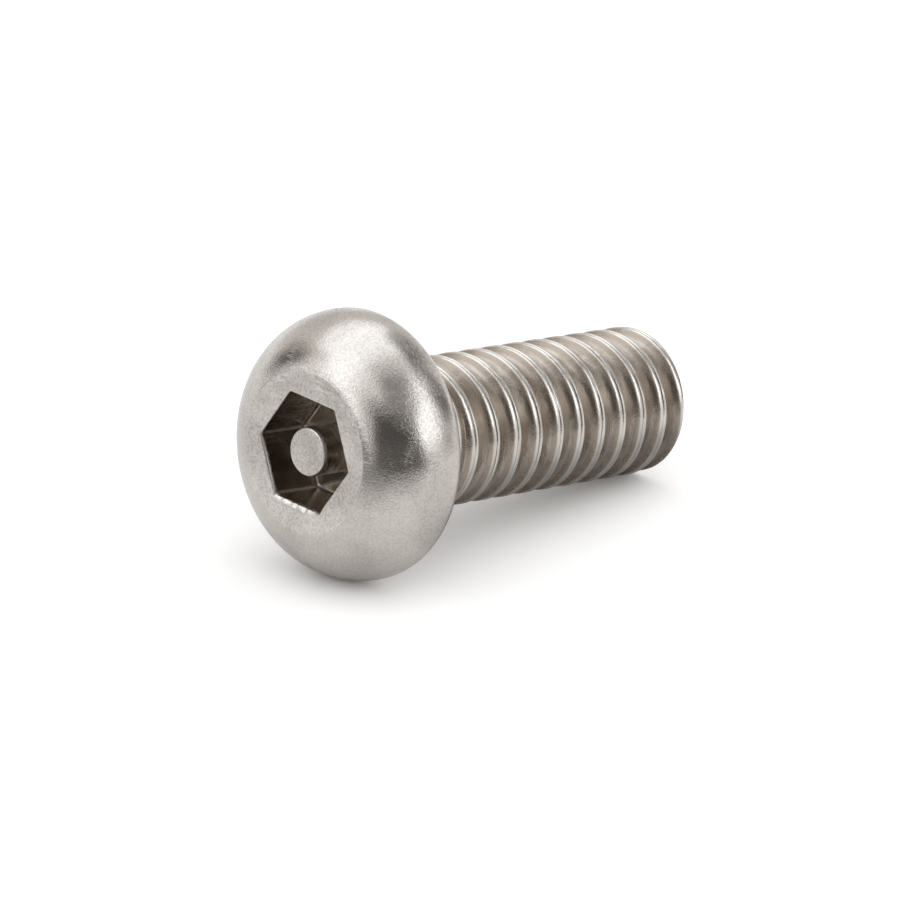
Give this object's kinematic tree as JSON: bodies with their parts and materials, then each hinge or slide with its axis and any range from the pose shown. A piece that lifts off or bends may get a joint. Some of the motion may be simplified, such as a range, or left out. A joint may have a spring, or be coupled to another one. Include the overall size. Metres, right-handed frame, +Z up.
{
  "type": "button head security screw",
  "caption": "Stainless button head machine screw with a pin-in-hexagon security socket and a coarse right-hand thread, lying on its side.",
  "frame": {"origin": "on the surface that the screw lies on, midway along its length, below its axis", "axes": "+X along the floor below the screw's axis, from the head towards the tip; +Y to the level side; +Z up. The screw's own axis leans 8.45 degrees down towards the tip, because it rests on the rim of its head and on the thread at its tip."},
  "size_m": [0.0202, 0.011, 0.011],
  "materials": {
    "stainless": "tumbled stainless steel, satin with fine random scratches"
  },
  "bodies": {
    "root": {"security_screw": "stainless"}
  },
  "joints": []
}
